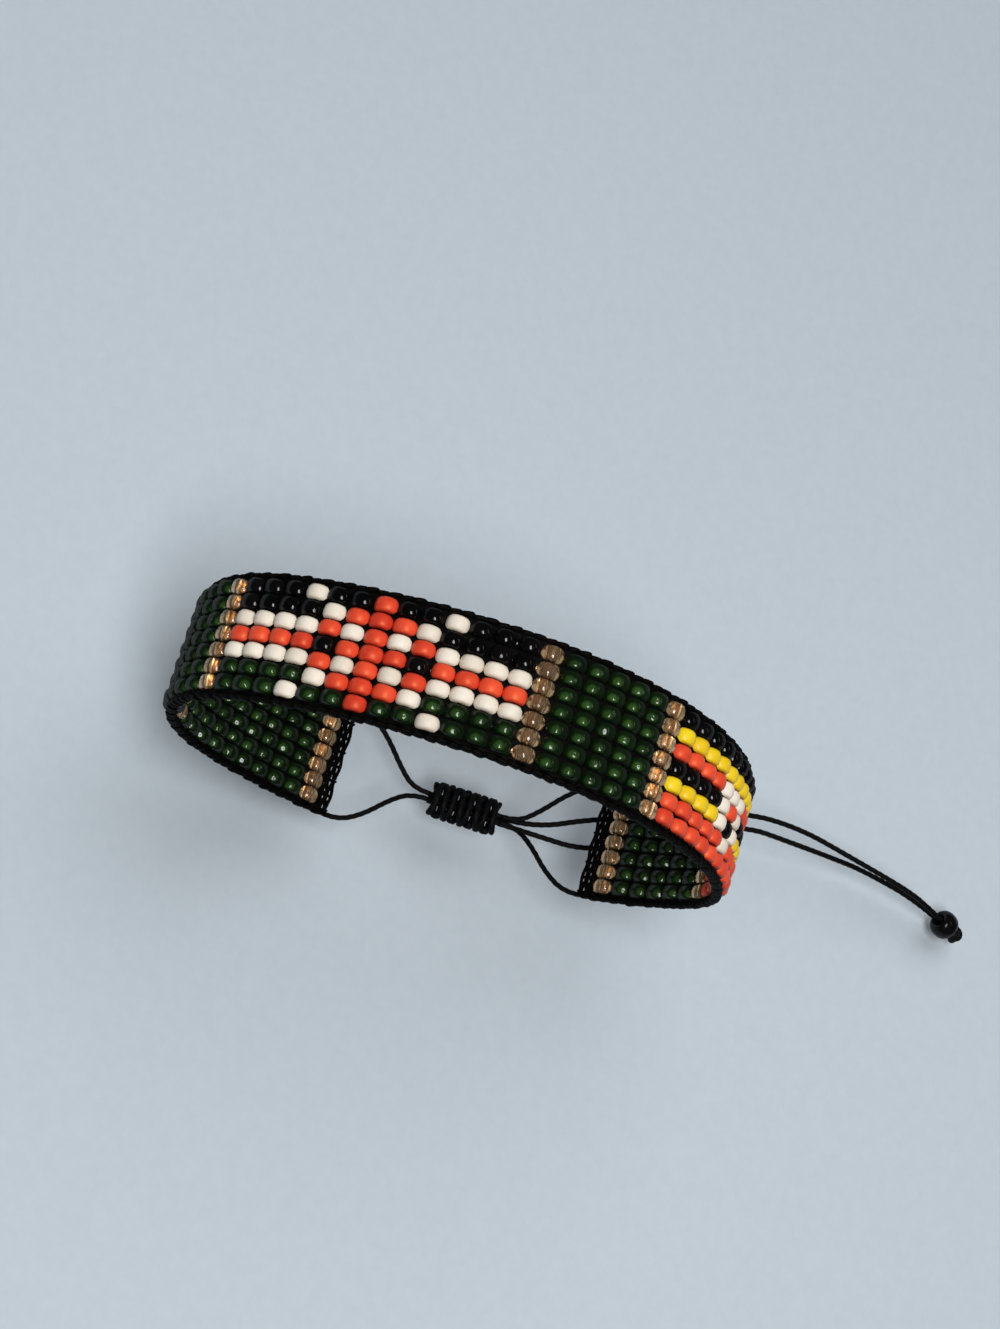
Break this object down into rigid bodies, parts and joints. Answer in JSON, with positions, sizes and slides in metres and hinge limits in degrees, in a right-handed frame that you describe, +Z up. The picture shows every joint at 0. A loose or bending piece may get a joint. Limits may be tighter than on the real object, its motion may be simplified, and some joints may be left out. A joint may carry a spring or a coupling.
{
  "type": "bead-woven band bracelet with sliding cord closure",
  "caption": "Flat band bracelet of seed beads woven on threads, closed to an oval by cords drawn through a sliding knot, with a small bead on the cord ends.",
  "frame": {"origin": "middle of the hollow that the wrist fills, half way across the band's width", "axes": "+X across the long way of the oval, towards the end where the cord tail comes out; +Y along the hollow, from the near edge of the band to the far edge; +Z up through the crest, with the sliding knot under the hollow"},
  "size_m": [0.0965, 0.0172, 0.0493],
  "materials": {
    "seed_beads": "glossy glass seed beads in several colours",
    "black_beads": "glossy opaque glass",
    "white_beads": "opaque cream-white glass with a soft lustre",
    "red_beads": "opaque orange-red glass",
    "yellow_beads": "opaque yellow glass",
    "green_beads": "dark transparent green glass",
    "gold_beads": "silver-lined bronze-gold glass",
    "end_bead": "glossy opaque glass",
    "thread": "waxed black thread",
    "cord": "waxed black cord, faintly shiny"
  },
  "bodies": {
    "root": {"bead_band": "seed_beads", "end_binding_left": "thread", "end_binding_right": "thread", "edge_cord_near": "thread", "edge_cord_far": "thread", "closing_strand_right_near": "cord", "closing_strand_right_far": "cord", "closing_strand_left_near": "cord", "closing_strand_left_far": "cord", "pull_cord_upper": "cord", "pull_cord_lower": "cord", "sliding_knot": "cord", "stop_knot": "cord", "pull_bead": "end_bead"}
  },
  "joints": []
}
